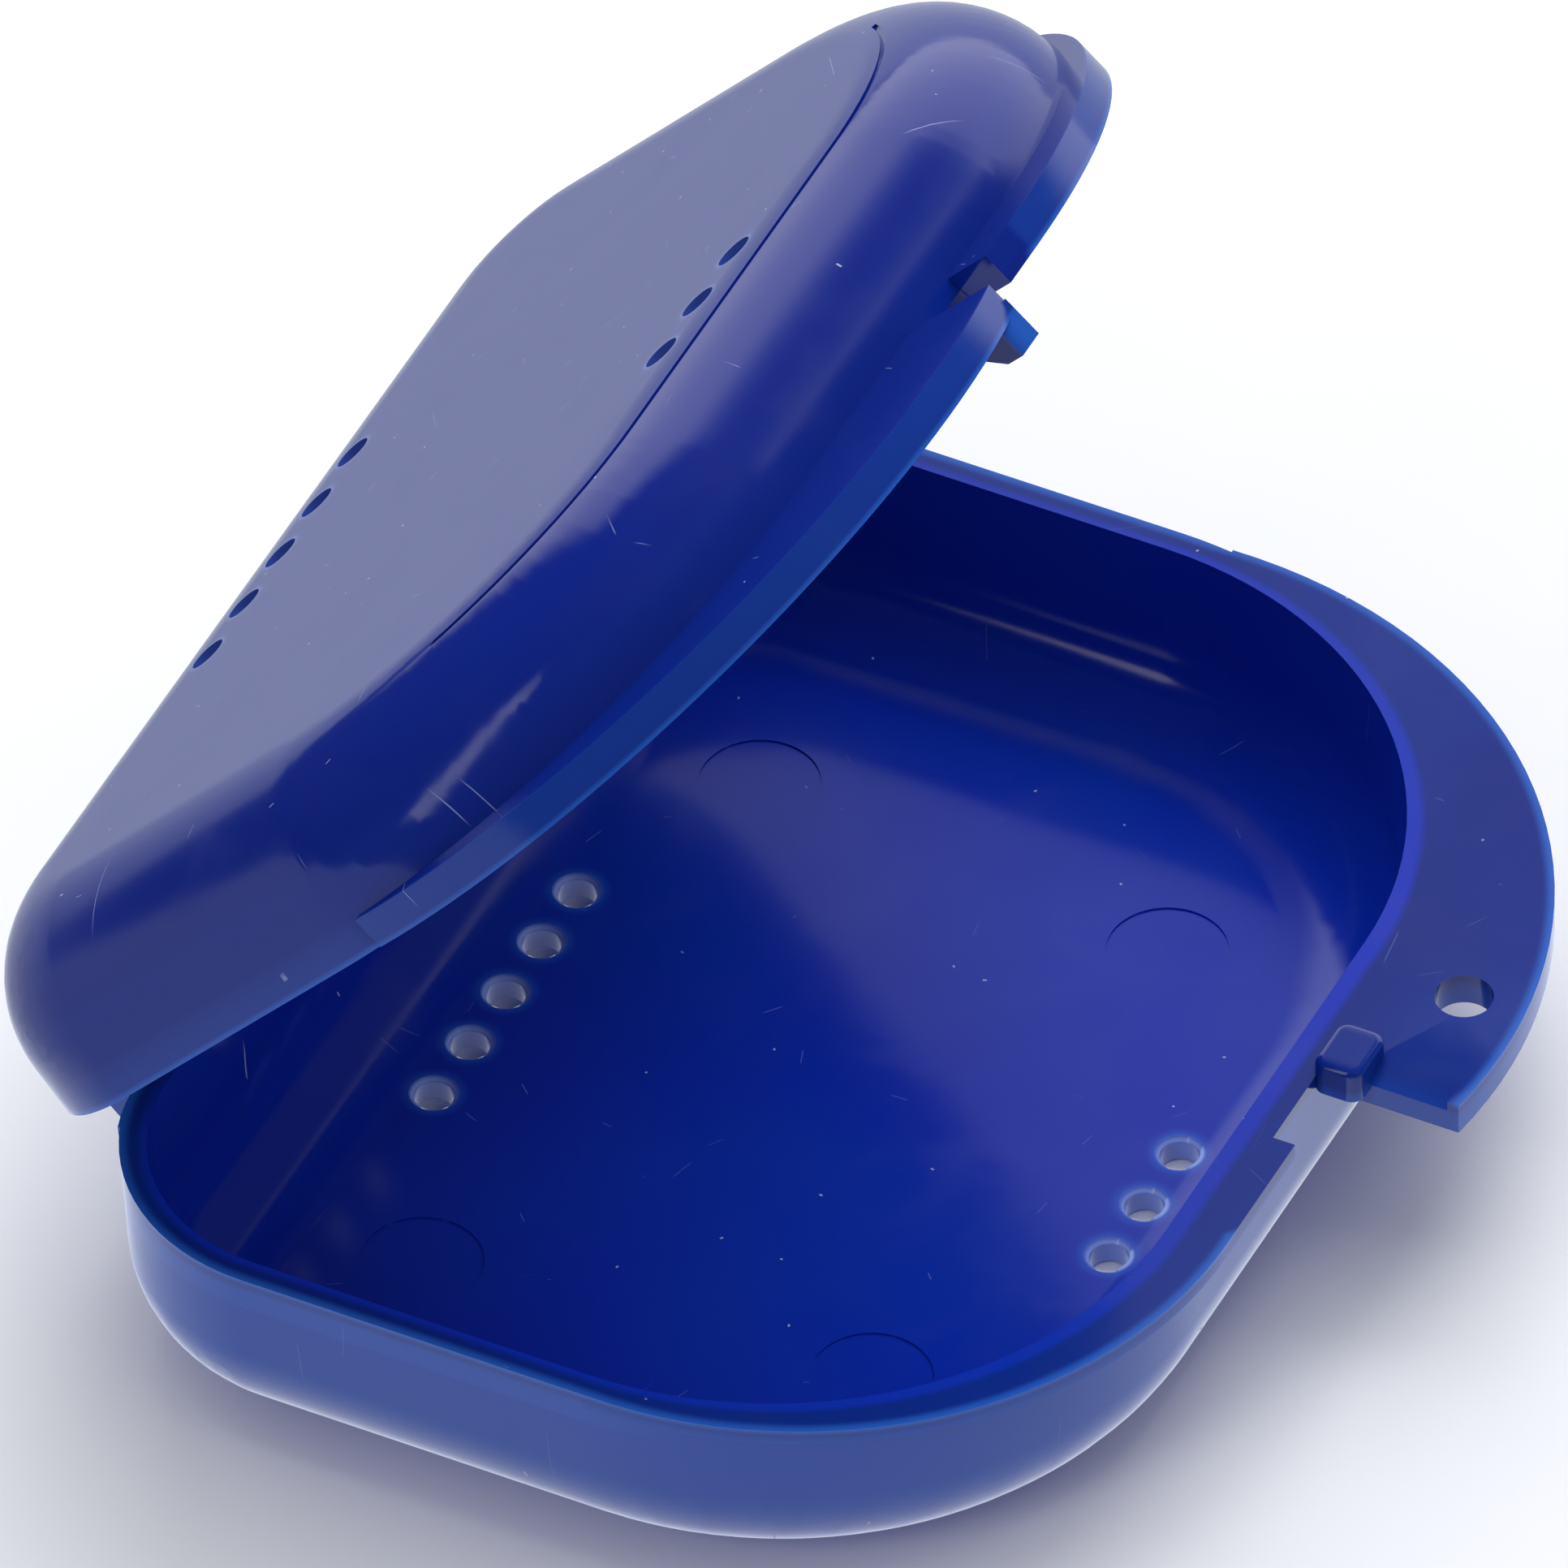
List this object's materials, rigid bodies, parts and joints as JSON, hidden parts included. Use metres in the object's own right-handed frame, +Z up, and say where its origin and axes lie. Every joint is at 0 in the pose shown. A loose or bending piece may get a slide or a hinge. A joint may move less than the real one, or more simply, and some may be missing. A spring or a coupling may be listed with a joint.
{
  "type": "retainer case",
  "caption": "Vented two-part plastic box for a dental retainer, hinged at the back, with a snap latch and a crescent finger wing on each half.",
  "frame": {"origin": "middle of the flat bottom that the tray stands on, half way between the hinge wall and the front wall", "axes": "+X from the hinge to the latch, +Y along the hinge towards the half of the tray with the wing, +Z up"},
  "size_m": [0.0821, 0.0846, 0.0752],
  "materials": {
    "tray_plastic": "glossy injection-moulded polypropylene, slightly translucent",
    "lid_plastic": "glossy injection-moulded polypropylene with fine scratches",
    "pin_plastic": "plain moulded plastic"
  },
  "bodies": {
    "tray": {"base_tray": "tray_plastic", "hinge_pin_near": "pin_plastic", "hinge_pin_far": "pin_plastic"},
    "lid": {"lid": "lid_plastic"}
  },
  "joints": [
    {"name": "lid_hinge", "type": "hinge", "parent": "tray", "child": "lid", "pos_m": [-0.03637, 0, 0.01343], "axis": [0, -1, 0], "range_deg": [-48.5, 121.5]}
  ]
}
